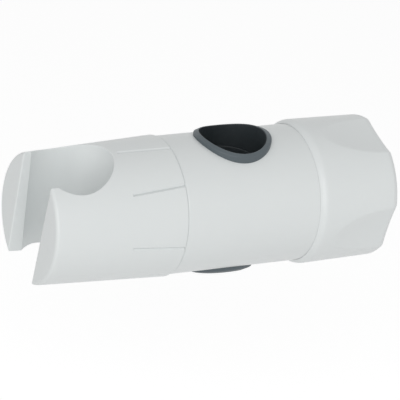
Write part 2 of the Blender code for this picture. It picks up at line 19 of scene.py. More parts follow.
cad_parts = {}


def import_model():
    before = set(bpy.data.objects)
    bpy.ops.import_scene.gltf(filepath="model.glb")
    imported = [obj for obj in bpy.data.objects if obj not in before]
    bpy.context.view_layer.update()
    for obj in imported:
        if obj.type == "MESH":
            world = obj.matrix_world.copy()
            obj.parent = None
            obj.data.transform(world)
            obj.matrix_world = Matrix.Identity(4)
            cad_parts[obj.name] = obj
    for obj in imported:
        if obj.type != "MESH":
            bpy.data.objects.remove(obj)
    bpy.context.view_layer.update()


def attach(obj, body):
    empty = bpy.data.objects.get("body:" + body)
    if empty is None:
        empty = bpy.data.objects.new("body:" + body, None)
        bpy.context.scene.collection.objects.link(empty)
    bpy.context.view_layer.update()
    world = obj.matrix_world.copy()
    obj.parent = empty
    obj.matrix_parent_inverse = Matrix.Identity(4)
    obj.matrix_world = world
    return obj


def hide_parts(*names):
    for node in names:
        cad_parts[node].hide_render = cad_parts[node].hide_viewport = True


MM = 0.001
FULL_TURN = 2 * math.pi
# Points nearer together than this are one point.
SAME_PLACE = 1e-4 * MM
BARREL_AXIS = (1.0, 0.0, 0.0)
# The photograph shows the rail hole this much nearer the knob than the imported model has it.
RAIL_HOLE_X = 0.35 * MM

# Numbers of chords in a full turn of small or plain shapes.
ROD_SEGMENTS = 64
HEXAGON_SEGMENTS = 96
RING_SEGMENTS = 144
HOLE_SEGMENTS = 160
BLOCK_ROUND_STEPS = 3
# How far a hexagon's end face stays inside its flats, as a share of its chamfer.
HEXAGON_FACE_SHARE = 0.25
NOISE_ROUGHNESS = 0.55

LOG = logging.getLogger("holder")

Point = tuple[float, float]
Colour = tuple[float, float, float]
Shape = bmesh.types.BMesh


class Step(Enum):
    """What a tool shape does to the piece."""

    CUT = "DIFFERENCE"
    JOIN = "UNION"


class Side(Enum):
    """Which of two like things is meant, by its sign along the rail."""

    UPPER = 1
    LOWER = -1


class Slot(Enum):
    """The record's material slots."""

    WHITE = "white_plastic"
    GREY = "grey_plastic"
    RUBBER = "black_rubber"
    NYLON = "grey_nylon"
    ZINC = "zinc_steel"
    BRASS = "brass"


def arc(centre: Point, radius: float, start: float, end: float, steps: int) -> list[Point]:
    """Points of an arc in a profile's plane.

    Args:
        centre: The arc's centre, as (along, radius).
        radius: The arc's radius.
        start: The first angle, in degrees.
        end: The last angle, in degrees.
        steps: The number of chords.

    Returns:
        The points from the first angle to the last.
    """
    angles = [math.radians(start + (end - start) * i / steps) for i in range(steps + 1)]
    return [(centre[0] + radius * math.cos(a), centre[1] + radius * math.sin(a)) for a in angles]


def between(start: Point, end: Point, pitch: float) -> list[Point]:
    """Points inside a straight line of a profile, about one pitch apart.

    Args:
        start: One end of the line.
        end: Its other end.
        pitch: The wanted distance between points.

    Returns:
        The points, without the two ends.
    """
    count = max(1, round(math.dist(start, end) / pitch))
    return [
        (start[0] + (end[0] - start[0]) * i / count, start[1] + (end[1] - start[1]) * i / count)
        for i in range(1, count)]


def everything(shape: Shape) -> list[Any]:
    """All of a shape's points, edges and faces."""
    return shape.verts[:] + shape.edges[:] + shape.faces[:]


def angle_of(vert: bmesh.types.BMVert) -> float:
    """A point's angle about the barrel's axis, from the top toward the front."""
    return math.atan2(-vert.co.y, vert.co.z)


def draw_in(vert: bmesh.types.BMVert, share: float) -> None:
    """Bring a point to a share of its distance from the barrel's axis."""
    vert.co.y *= share
    vert.co.z *= share


def meshed(name: str, shape: Shape) -> bpy.types.Mesh:
    """Turn a shape into a mesh.

    Args:
        name: The mesh's name.
        shape: The shape, which is freed.

    Returns:
        The mesh.
    """
    mesh = bpy.data.meshes.new(name)
    shape.to_mesh(mesh)
    shape.free()
    return mesh


def placed(name: str, data: bpy.types.ID) -> bpy.types.Object:
    """Put a new object in the scene, at the origin.

    Args:
        name: The object's name.
        data: Its mesh, light or camera.

    Returns:
        The object.
    """
    item = bpy.data.objects.new(name, data)
    bpy.context.scene.collection.objects.link(item)
    return item


def finished(shape: Shape) -> Shape:
    """Merge a shape's doubles and turn its faces outward.

    Args:
        shape: The shape.

    Returns:
        The same shape.
    """
    bmesh.ops.remove_doubles(shape, verts=shape.verts, dist=SAME_PLACE)
    bmesh.ops.recalc_face_normals(shape, faces=shape.faces)
    return shape


def spun(
        profile: Sequence[Point], segments: int, closed: bool = False, start: float = 0.0,
        sweep: float = FULL_TURN) -> Shape:
    """Spin a profile about the barrel's axis.

    Args:
        profile: Points as (x, radius). An open profile starts and ends on the axis.
        segments: The number of steps.
        closed: Whether the profile is a loop.
        start: The first angle, from the top toward the front.
        sweep: The angle that is filled.

    Returns:
        The closed shape.
    """
    shape = bmesh.new()
    begin = Matrix.Rotation(start, 3, "X")
    verts = [shape.verts.new(begin @ Vector((x, 0.0, r))) for x, r in profile]
    edges = [shape.edges.new(pair) for pair in zip(verts, verts[1:])]
    if closed:
        edges.append(shape.edges.new((verts[-1], verts[0])))
    whole = math.isclose(sweep, FULL_TURN)
    source = verts + edges if whole else [shape.faces.new(verts)]
    bmesh.ops.spin(
        shape, geom=source, axis=BARREL_AXIS, cent=(0, 0, 0), angle=sweep, steps=segments,
        use_merge=whole, use_duplicate=False)
    return finished(shape)


def rod(x0: float, x1: float, radius: float) -> Shape:
    """A plain cylinder along the barrel, as a tool."""
    return spun([(x0, 0.0), (x0, radius), (x1, radius), (x1, 0.0)], ROD_SEGMENTS)


def upright_rod(radius: float, half_height: float) -> Shape:
    """A plain cylinder along the rail, as a tool.

    Args:
        radius: Its radius.
        half_height: How far it reaches above and below the barrel's axis.

    Returns:
        The cylinder.
    """
    shape = bmesh.new()
    bmesh.ops.create_cone(
        shape, cap_ends=True, segments=HOLE_SEGMENTS, radius1=radius, radius2=radius,
        depth=2 * half_height)
    return shape


def block(low: Sequence[float], high: Sequence[float], soft: float = 0.0) -> Shape:
    """A box between two corners.

    Args:
        low: Its lowest corner.
        high: Its highest corner.
        soft: How much its edges are rounded, 0 for sharp ones.

    Returns:
        The box.
    """
    shape = bmesh.new()
    bmesh.ops.create_cube(shape, size=1.0)
    size = Vector(high) - Vector(low)
    bmesh.ops.scale(shape, verts=shape.verts, vec=size)
    bmesh.ops.translate(shape, verts=shape.verts, vec=(Vector(high) + Vector(low)) / 2)
    if soft:
        bmesh.ops.bevel(
            shape, geom=list(shape.edges), offset=soft, affect="EDGES",
            segments=BLOCK_ROUND_STEPS, profile=0.5, material=-1)
    return shape


def hexagon(x0: float, x1: float, across: float, chamfer: float = 0.0) -> Shape:
    """A hexagonal prism along the barrel, with corners at the top and the bottom.

    Args:
        x0: Where it starts.
        x1: Where it ends.
        across: Its size across the flats.
        chamfer: How much its ends' corners are turned off.

    Returns:
        The prism, turned down at both ends where a chamfer is given.
    """
    profile = [(x0, 0.0), (x0, across), (x1, across), (x1, 0.0)]
    if chamfer:
        face = across / 2 - chamfer * HEXAGON_FACE_SHARE
        corner = across / math.sqrt(3) + SAME_PLACE
        profile = [(x0, 0.0), (x0, face), (x0 + chamfer, corner)]
        profile += [(x1 - chamfer, corner), (x1, face), (x1, 0.0)]
    shape = spun(profile, HEXAGON_SEGMENTS)
    for side in range(6):
        angle = math.radians(30 + 60 * side)
        outward = Vector((0.0, math.sin(angle), math.cos(angle)))
        cut = bmesh.ops.bisect_plane(
            shape, geom=everything(shape), dist=SAME_PLACE,
            plane_co=outward * across / 2, plane_no=outward, clear_outer=True)
        edges = [item for item in cut["geom_cut"] if isinstance(item, bmesh.types.BMEdge)]
        bmesh.ops.contextual_create(shape, geom=edges)
    return finished(shape)


def warped_column(
        around: int, levels: int, place: Callable[[int, int], Vector]) -> Shape:
    """A capped cylinder whose rings of points are moved to places of their own.

    Args:
        around: The number of points in a ring.
        levels: The number of rings, from the bottom to the top.
        place: Gives a point's place from its number in the ring and its ring's number.

    Returns:
        The closed shape.
    """
    shape = bmesh.new()
    bmesh.ops.create_cone(
        shape, cap_ends=True, segments=around, radius1=1.0, radius2=1.0, depth=levels - 1)
    for level in range(1, levels - 1):
        bmesh.ops.bisect_plane(
            shape, geom=everything(shape), dist=SAME_PLACE,
            plane_co=(0.0, 0.0, level - (levels - 1) / 2), plane_no=(0.0, 0.0, 1.0))
    for vert in shape.verts:
        number = round(math.atan2(vert.co.x, vert.co.y) / FULL_TURN * around) % around
        level = round(vert.co.z + (levels - 1) / 2)
        vert.co = place(number, level)
    shape.normal_update()
    bmesh.ops.recalc_face_normals(shape, faces=shape.faces)
    return shape


def combined(base: Shape, tools: Sequence[tuple[Shape, Step]]) -> Shape:
    """Cut tool shapes from a base, or join them to it, one after the other.

    Args:
        base: The shape that is worked on.
        tools: Each tool with what it does.

    Returns:
        The shape that results.
    """
    shapes = [base] + [tool for tool, _ in tools]
    made = [placed("work", meshed("work", shape)) for shape in shapes]
    for item, (_, step) in zip(made[1:], tools):
        modifier = made[0].modifiers.new("step", "BOOLEAN")
        modifier.operation = step.value
        modifier.solver = "EXACT"
        modifier.object = item
    graph = bpy.context.evaluated_depsgraph_get()
    result = bmesh.new()
    result.from_object(made[0], graph)
    bmesh.ops.remove_doubles(result, verts=result.verts, dist=SAME_PLACE)
    bmesh.ops.dissolve_degenerate(result, edges=result.edges, dist=SAME_PLACE)
    for item in made:
        mesh = item.data
        bpy.data.objects.remove(item)
        bpy.data.meshes.remove(mesh)
    return result


class Value:
    """A shader value, whose Python operators add Math nodes."""

    def __init__(self, graph: "Graph", socket: Optional[bpy.types.NodeSocket]) -> None:
        """Keep the graph and the socket that gives the value."""
        self.graph = graph
        self.socket = socket

    def _math(self, operation: str, first: Any, second: Any) -> "Value":
        """The result of one Math node."""
        return self.graph.node("ShaderNodeMath", {"operation": operation}, {0: first, 1: second})

    def __add__(self, other: Any) -> "Value":
        """This value plus another."""
        return self._math("ADD", self, other)

    __radd__ = __add__

    def __sub__(self, other: Any) -> "Value":
        """This value less another."""
        return self._math("SUBTRACT", self, other)

    def __rsub__(self, other: Any) -> "Value":
        """Another value less this one."""
        return self._math("SUBTRACT", other, self)

    def __mul__(self, other: Any) -> "Value":
        """This value times another."""
        return self._math("MULTIPLY", self, other)

    __rmul__ = __mul__


class Graph:
    """The nodes of a material or of the world."""

    def __init__(self, owner: Union[bpy.types.Material, bpy.types.World]) -> None:
        """Give a material or the world an empty node tree.

        Args:
            owner: The material or the world.
        """
        owner.use_nodes = True
        self.owner = owner
        self.tree = owner.node_tree
        self.tree.nodes.clear()

    def node(
            self, kind: str, settings: dict[str, Any], sockets: dict[Union[int, str], Any],
            output: Union[int, str] = 0) -> Value:
        """Add a node.

        Args:
            kind: The node's type.
            settings: Its properties, set first.
            sockets: Its inputs by number or name, each a Value to link or a plain value.
            output: Which of its outputs is wanted.

        Returns:
            The wanted output, empty for a node that has none.
        """
        made = self.tree.nodes.new(kind)
        for name, setting in settings.items():
            setattr(made, name, setting)
        for name, given in sockets.items():
            if isinstance(given, Value):
                self.tree.links.new(given.socket, made.inputs[name])
            else:
                made.inputs[name].default_value = given
        return Value(self, made.outputs[output] if made.outputs else None)

    def noise(self, size: float, detail: float, along: float = 1.0) -> Value:
        """Smooth noise in the object's coordinates.

        Args:
            size: The size of its features, in metres.
            detail: How many finer layers it has.
            along: How many times finer it is along the barrel.

        Returns:
            Its value, from 0 to 1.
        """
        place = self.node("ShaderNodeMapping", {}, {
            "Vector": self.node("ShaderNodeTexCoord", {}, {}, "Object"),
            "Scale": (along / size, 1 / size, 1 / size)})
        return self.node(
            "ShaderNodeTexNoise", {"noise_dimensions": "3D"},
            {"Vector": place, "Scale": 1.0, "Detail": detail,
             "Roughness": NOISE_ROUGHNESS})

    def outside_rail(self, radius: float, soft: float) -> Value:
        """How far a point is outside a radius about the rail hole's axis.

        Args:
            radius: The radius where it turns from 0 to 1.
            soft: The width of that turn.

        Returns:
            A share from 0 inside to 1 outside.
        """
        flat = self.node("ShaderNodeVectorMath", {"operation": "MULTIPLY_ADD"}, {
            0: self.node("ShaderNodeTexCoord", {}, {}, "Object"), 1: (1.0, 1.0, 0.0),
            2: (-RAIL_HOLE_X, 0.0, 0.0)})
        away = self.node("ShaderNodeVectorMath", {"operation": "LENGTH"}, {0: flat}, "Value")
        return self.node("ShaderNodeMapRange", {"interpolation_type": "SMOOTHSTEP"}, {
            "Value": away, "From Min": radius - soft / 2, "From Max": radius + soft / 2})

    def blend(
            self, share: Value, first: Union[Colour, Value], second: Union[Colour, Value]) -> Value:
        """A colour between two.

        Args:
            share: 0 for the first colour, 1 for the second.
            first: A colour, plain or from a node.
            second: Another.

        Returns:
            The colour.
        """
        ends = [end if isinstance(end, Value) else (*end, 1.0) for end in (first, second)]
        return self.node(
            "ShaderNodeMix", {"data_type": "RGBA"}, {"Factor": share, 6: ends[0], 7: ends[1]}, 2)

    def bump(self, height: Value, depth: float, below: Optional[Value] = None) -> Value:
        """A normal that a height bends.

        Args:
            height: The height, from 0 to 1.
            depth: How deep it is, in metres.
            below: The normal that it is added to, where there is one.

        Returns:
            The normal.
        """
        sockets: dict[Union[int, str], Any] = {
            "Height": height, "Strength": 1.0, "Distance": depth}
        if below:
            sockets["Normal"] = below
        return self.node("ShaderNodeBump", {}, sockets)

    def white_to_viewer(self) -> Value:
        """Whether the viewer sees this, also in a reflection or through glass.

        Returns:
            1 where it is seen and 0 for the light it throws.
        """
        seen = [
            self.node("ShaderNodeLightPath", {}, {}, name)
            for name in ("Is Camera Ray", "Is Glossy Ray", "Is Transmission Ray")]
        return 1 - (1 - seen[0]) * (1 - seen[1]) * (1 - seen[2])

    def principled(self, sockets: dict[Union[int, str], Any]) -> bpy.types.Material:
        """Close the material with a Principled shader.

        Args:
            sockets: The shader's inputs by name.

        Returns:
            The material.
        """
        shader = self.node("ShaderNodeBsdfPrincipled", {}, sockets)
        self.node("ShaderNodeOutputMaterial", {}, {"Surface": shader})
        return self.owner


@dataclass(frozen=True)
class Moulded:
    """A moulded plastic or rubber: two close tones, a fine grain and slow waves of its skin, with
    painted shade inside the rail bore where a bore radius is given.
    """

    name: str
    tone: Colour
    other_tone: Colour
    roughness: float
    roughness_spread: float
    grain_size: float
    grain_depth: float
    wave_depth: float
    grain_detail: float = 3.0
    wave_size: float = 3.0 * MM
    wave_detail: float = 1.0
    patch_size: float = 14.0 * MM
    patch_detail: float = 3.0
    rub_stretch: float = 6.0
    rub_detail: float = 2.0
    # Painted shade: inside bore_radius about the rail hole's axis the colour turns to a darker tone
    # that stands in for the shade in the bore.
    bore_radius: float = 0.0
    bore_soft: float = 0.12 * MM
    painted_bore_shade: Colour = (0.0, 0.0, 0.0)

    def build(self) -> bpy.types.Material:
        """Make the material.

        Returns:
            The material.
        """
        graph = Graph(bpy.data.materials.new(self.name))
        patches = graph.noise(self.patch_size, self.patch_detail)
        tone = graph.blend(patches, self.tone, self.other_tone)
        # Painted shade: the colour darkens inside the rail bore.
        if self.bore_radius:
            tone = graph.blend(
                graph.outside_rail(self.bore_radius, self.bore_soft), self.painted_bore_shade, tone)
        grain = graph.noise(self.grain_size, self.grain_detail)
        waves = graph.noise(self.wave_size, self.wave_detail)
        normal = graph.bump(grain, self.grain_depth, graph.bump(waves, self.wave_depth))
        rub = graph.noise(self.grain_size * self.rub_stretch, self.rub_detail)
        # The two noises are 1 together on average, which leaves the roughness as it is.
        spread = (patches + rub - 1.0) * self.roughness_spread
        return graph.principled({
            "Base Color": tone,
            "Roughness": spread + self.roughness,
            "Normal": normal,
        })


@dataclass(frozen=True)
class Turned:
    """A turned or plated metal, with the fine rings that a tool leaves round the barrel's axis."""

    name: str
    tone: Colour
    other_tone: Colour
    roughness: float
    roughness_spread: float = 0.14
    patch_size: float = 4.0 * MM
    patch_detail: float = 3.0
    ring_pitch: float = 0.12 * MM
    ring_stretch: float = 40.0
    ring_detail: float = 3.0
    ring_depth: float = 0.004 * MM

    def build(self) -> bpy.types.Material:
        """Make the material.

        Returns:
            The material.
        """
        graph = Graph(bpy.data.materials.new(self.name))
        patches = graph.noise(self.patch_size, self.patch_detail)
        rings = graph.noise(
            self.ring_pitch * self.ring_stretch, self.ring_detail, self.ring_stretch)
        spread = rings * self.roughness_spread
        return graph.principled({
            "Base Color": graph.blend(patches, self.tone, self.other_tone),
            "Roughness": spread + (self.roughness - self.roughness_spread / 2),
            "Metallic": 1.0,
            "Normal": graph.bump(rings, self.ring_depth),
        })


FINISHES: dict[Slot, Union[Moulded, Turned]] = {
    Slot.WHITE: Moulded(
        "white moulding", tone=(0.715, 0.745, 0.745), other_tone=(0.735, 0.762, 0.760),
        roughness=0.36, roughness_spread=0.08, grain_size=0.35 * MM, grain_depth=0.004 * MM,
        wave_depth=0.006 * MM),
    # The grey's darker tone inside its bore is painted shade.
    Slot.GREY: Moulded(
        "slate grey moulding", tone=(0.072, 0.092, 0.104), other_tone=(0.084, 0.105, 0.117),
        roughness=0.48, roughness_spread=0.10, grain_size=0.22 * MM, grain_depth=0.012 * MM,
        wave_depth=0.004 * MM, bore_radius=9.9 * MM, painted_bore_shade=(0.024, 0.031, 0.035)),
    Slot.RUBBER: Moulded(
        "black rubber", tone=(0.018, 0.018, 0.019), other_tone=(0.026, 0.026, 0.027),
        roughness=0.55, roughness_spread=0.16, grain_size=0.30 * MM, grain_depth=0.010 * MM,
        wave_depth=0.010 * MM),
    Slot.NYLON: Moulded(
        "grey nylon", tone=(0.110, 0.122, 0.130), other_tone=(0.130, 0.142, 0.150),
        roughness=0.50, roughness_spread=0.10, grain_size=0.25 * MM, grain_depth=0.010 * MM,
        wave_depth=0.004 * MM),
    Slot.ZINC: Turned(
        "bright zinc plate", tone=(0.54, 0.56, 0.58), other_tone=(0.60, 0.61, 0.60),
        roughness=0.30),
    Slot.BRASS: Turned(
        "turned brass", tone=(0.70, 0.52, 0.25), other_tone=(0.74, 0.57, 0.30),
        roughness=0.28),
}


@dataclass
class Piece:
    """A finished shape with what it stands for."""

    name: str
    shape: Shape
    node: str
    body: str
    slot: Slot
    sharp: float = math.radians(30)


class Workshop:
    """Makes pieces into the scene's objects."""

    def __init__(self) -> None:
        """Start with no material made."""
        self.materials: dict[Slot, bpy.types.Material] = {}

    def material(self, slot: Slot) -> bpy.types.Material:
        """The material of a slot, made when it is first asked for.

        Args:
            slot: The slot.

        Returns:
            Its material.
        """
        if slot not in self.materials:
            self.materials[slot] = FINISHES[slot].build()
        return self.materials[slot]

    def mount(self, piece: Piece) -> bpy.types.Object:
        """Put a piece in the scene in place of its CAD node.

        Args:
            piece: The piece.

        Returns:
            Its object, which rides on its body.
        """
        mesh = meshed(piece.name, piece.shape)
        mesh.shade_smooth()
        mesh.set_sharp_from_angle(angle=piece.sharp)
        mesh.materials.append(self.material(piece.slot))
        item = placed(piece.name, mesh)
        normals = item.modifiers.new("normals", "WEIGHTED_NORMAL")
        normals.keep_sharp = True
        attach(item, piece.body)
        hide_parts(piece.node)
        LOG.info("%s: %d faces for %s", piece.name, len(mesh.polygons), piece.node)
        return item


@dataclass
class Cradle:
    """The white moulding that takes the handset, with its four snap tongues."""

    skirt_x: float = -21.2 * MM
    length: float = 40.4 * MM
    turn: float = math.radians(4.9)
    skirt_radius: float = 20.45 * MM
    end_radius: float = 18.9 * MM
    pocket_radius: float = 17.9 * MM
    skirt_round: float = 0.2 * MM
    end_round: float = 1.1 * MM
    web: float = 1.7 * MM
    bore_radius: float = 11.15 * MM
    bore_taper: float = 0.056
    bore_from_end: float = 10.0 * MM
    slot_half: float = 8.9 * MM
    slot_taper: float = 0.028
    rim_round: float = 0.3 * MM
    mouth_round: float = 0.45 * MM
    rim_sweep: float = 0.95
    rim_passes: int = 3
    tongues: int = 4
    tongue_angle: float = math.radians(22.5)
    half_tip: float = math.radians(18.4)
    half_root: float = math.radians(21.7)
    slit_width: float = 0.03 * MM
    slit_chamfer: float = 0.55 * MM
    slit_rise: float = 1.0 * MM
    tip_recess: float = 0.1 * MM
    hook_radius: float = 16.7 * MM
    hook_length: float = 2.3 * MM
    hook_lead: float = 0.9 * MM
    hook_lead_reach: float = 0.5 * MM
    hook_root: float = 0.6 * MM
    slit_floor: float = 16.4 * MM
    reach: float = 4.0 * MM
    segments: int = 240
    bore_points: int = 144
    tongue_steps: int = 24
    round_steps: int = 6
    row_pitch: float = 1.6 * MM

    @property
    def end_x(self) -> float:
        """Where the cradle's end face is."""
        return self.skirt_x - self.length

    @property
    def bore_x(self) -> float:
        """Where the bore's axis is."""
        return self.end_x + self.bore_from_end

    @property
    def floor_x(self) -> float:
        """Where the pocket for the spigot ends."""
        return self.bore_x + self.bore_radius + self.bore_taper * self.skirt_radius + self.web

    def outside(self, x: float) -> float:
        """Radius of the conical outside at a place along the barrel."""
        share = (x - self.end_x) / self.length
        return self.end_radius + (self.skirt_radius - self.end_radius) * share

    def blank(self) -> Shape:
        """The turned shape before the bore and the slot are cut.

        Returns:
            The shape.
        """
        skirt_top = (self.skirt_x - self.skirt_round, self.skirt_radius)
        end_top = (self.end_x + self.end_round, self.end_radius)
        profile = [(self.floor_x, 0.0), (self.floor_x, self.pocket_radius)]
        profile += between(profile[-1], (self.skirt_x, self.pocket_radius), 2 * self.row_pitch)
        profile.append((self.skirt_x, self.pocket_radius))
        profile += arc(
            (skirt_top[0], skirt_top[1] - self.skirt_round), self.skirt_round, 0, 90,
            self.round_steps // 2)
        profile += between(skirt_top, end_top, self.row_pitch)
        profile += arc(
            (end_top[0], end_top[1] - self.end_round), self.end_round, 90, 180, self.round_steps)
        profile.append((self.end_x, 0.0))
        return spun(profile, self.segments)

    def bore_outline(self, level: float) -> list[tuple[Point, Point]]:
        """The bore's outline at a height.

        Args:
            level: The height above the barrel's axis.

        Returns:
            The outline's points with their outward normals.
        """
        radius = self.bore_radius + self.bore_taper * level
        outline = []
        for index in range(self.bore_points):
            angle = FULL_TURN * index / self.bore_points
            normal = (math.cos(angle), math.sin(angle))
            outline.append(((self.bore_x + radius * normal[0], radius * normal[1]), normal))
        return outline

    def slot_outline(self, level: float) -> list[tuple[Point, Point]]:
        """The slot's outline at a height, from the bore's axis out past the end.

        Args:
            level: The height above the barrel's axis.

        Returns:
            The outline's points with their outward normals.
        """
        half = self.slot_half + self.slot_taper * level
        side = [(self.bore_x, half)]
        mouth = (self.end_x + self.mouth_round, half + self.mouth_round)
        side += between(side[0], (mouth[0], half), self.row_pitch)
        side += arc(mouth, self.mouth_round, 270, 180, self.round_steps)
        side.append((self.end_x - self.reach, mouth[1]))
        far = [((x, y), (0.0, 1.0)) for x, y in side]
        near = [((x, -y), (0.0, -1.0)) for x, y in reversed(side)]
        return far + near

    def rim_line(
            self, outline: Callable[[float], list[tuple[Point, Point]]], index: int,
            side: Side) -> list[Vector]:
        """Points up one line of a tool's wall, from the middle to clear of the cradle.

        Args:
            outline: Gives the wall's points at a height.
            index: Which of those points the line follows.
            side: Whether it goes up to the upper rim or down to the lower one.

        Returns:
            The points. The line bends outward in an arc that rounds the rim.
        """
        sign = side.value
        level = sign * self.end_radius
        for _ in range(self.rim_passes):
            (x, y), (nx, ny) = outline(level)[index]
            radius = self.outside(x)
            height = math.sqrt(radius ** 2 - y ** 2)
            level = sign * height
        slope = (self.skirt_radius - self.end_radius) / self.length
        lean = math.atan2(y * ny - radius * slope * nx, height)
        centre = height - self.rim_round * (1 + math.sin(lean)) / math.cos(lean)
        sweep = self.rim_sweep * (math.pi / 2 + lean)
        line = []
        for step in range(self.round_steps + 1):
            angle = math.pi - sweep * step / self.round_steps
            line.append((
                self.rim_round * (1 + math.cos(angle)), centre + self.rim_round * math.sin(angle)))
        leave = math.pi / 2 - sweep
        out, up = line[-1]
        line.append((
            out + self.rim_round * math.cos(leave), up + self.rim_round * math.sin(leave)))
        line.append((line[-1][0], self.skirt_radius + self.reach))
        return [Vector((x + nx * out, y + ny * out, sign * up)) for out, up in line]

    def saddle(self, outline: Callable[[float], list[tuple[Point, Point]]]) -> Shape:
        """A tool through the cradle that rounds the rims it leaves above and below.

        Args:
            outline: Gives the points of the tool's wall at a height.

        Returns:
            The tool.
        """
        lines = []
        for index in range(len(outline(0.0))):
            low = self.rim_line(outline, index, Side.LOWER)
            lines.append(low[::-1] + self.rim_line(outline, index, Side.UPPER))
        return warped_column(len(lines), len(lines[0]), lambda number, level: lines[number][level])

    def slit(self, centre: float, side: Side) -> Shape:
        """The tool for one slit.

        Args:
            centre: The angle of the tongue's middle.
            side: Which of the tongue's two slits it is.

        Returns:
            A thin plate that leans with the tongue's edge and widens where it leaves the skirt.
        """
        shape = bmesh.new()
        bmesh.ops.create_cube(shape, size=2.0)
        bmesh.ops.bisect_plane(
            shape, geom=everything(shape), dist=SAME_PLACE,
            plane_co=(0.0, 0.0, 0.0), plane_no=(0.0, 0.0, 1.0))
        way = -side.value
        middle = centre + way * (self.half_tip + self.half_root) / 2
        out = Vector((0.0, -math.sin(middle), math.cos(middle)))
        across = Vector((0.0, math.cos(middle), math.sin(middle)))
        span = self.skirt_x - self.floor_x
        lean = way * self.skirt_radius * (self.half_root - self.half_tip) / span
        middle_x = (self.skirt_x + self.floor_x) / 2
        for vert in shape.verts:
            x = self.skirt_x + self.reach if vert.co.x > 0 else self.floor_x
            half = self.slit_width / 2
            radius = self.slit_floor
            level = round(vert.co.z)
            if level >= 0:
                radius = self.outside(x) - self.slit_chamfer
            if level > 0:
                half += self.slit_chamfer + self.slit_rise
                radius = self.outside(x) + self.slit_rise
            shift = vert.co.y * half + lean * (x - middle_x)
            vert.co = Vector((x, 0, 0)) + out * radius + across * shift
        return shape

    def tongue_tools(self, centre: float) -> list[tuple[Shape, Step]]:
        """The two slits, the set-back tip and the hook of one tongue.

        Args:
            centre: The angle of the tongue's middle.

        Returns:
            Each tool with what it does.
        """
        tools = [(self.slit(centre, side), Step.CUT) for side in Side]
        tip_x = self.skirt_x - self.tip_recess
        tip = [
            (tip_x, self.hook_radius), (self.skirt_x + self.reach, self.hook_radius),
            (self.skirt_x + self.reach, self.skirt_radius + self.reach),
            (tip_x, self.skirt_radius + self.reach)]
        half = self.half_tip + self.slit_width / 4 / self.pocket_radius
        tools.append((spun(tip, self.tongue_steps, True, centre - half, 2 * half), Step.CUT))
        root = self.pocket_radius + self.hook_root
        hook = [
            (tip_x, root), (tip_x, self.pocket_radius - self.hook_lead_reach),
            (tip_x - self.hook_lead, self.hook_radius),
            (tip_x - self.hook_length, self.hook_radius), (tip_x - self.hook_length, root)]
        half = self.half_tip - self.slit_width / self.hook_radius
        tools.append((spun(hook, self.tongue_steps, True, centre - half, 2 * half), Step.JOIN))
        return tools

    def pieces(self) -> list[Piece]:
        """Build the cradle, turned as it is in the photograph.

        Returns:
            The one piece.
        """
        outlines = (self.bore_outline, self.slot_outline)
        tools = [(self.saddle(outline), Step.CUT) for outline in outlines]
        for index in range(self.tongues):
            tools += self.tongue_tools(self.tongue_angle + FULL_TURN * index / self.tongues)
        shape = combined(self.blank(), tools)
        bmesh.ops.rotate(
            shape, verts=shape.verts, cent=(0, 0, 0), matrix=Matrix.Rotation(self.turn, 3, "X"))
        return [Piece("cradle_moulding", shape, "handset_cradle", "cradle", Slot.WHITE)]


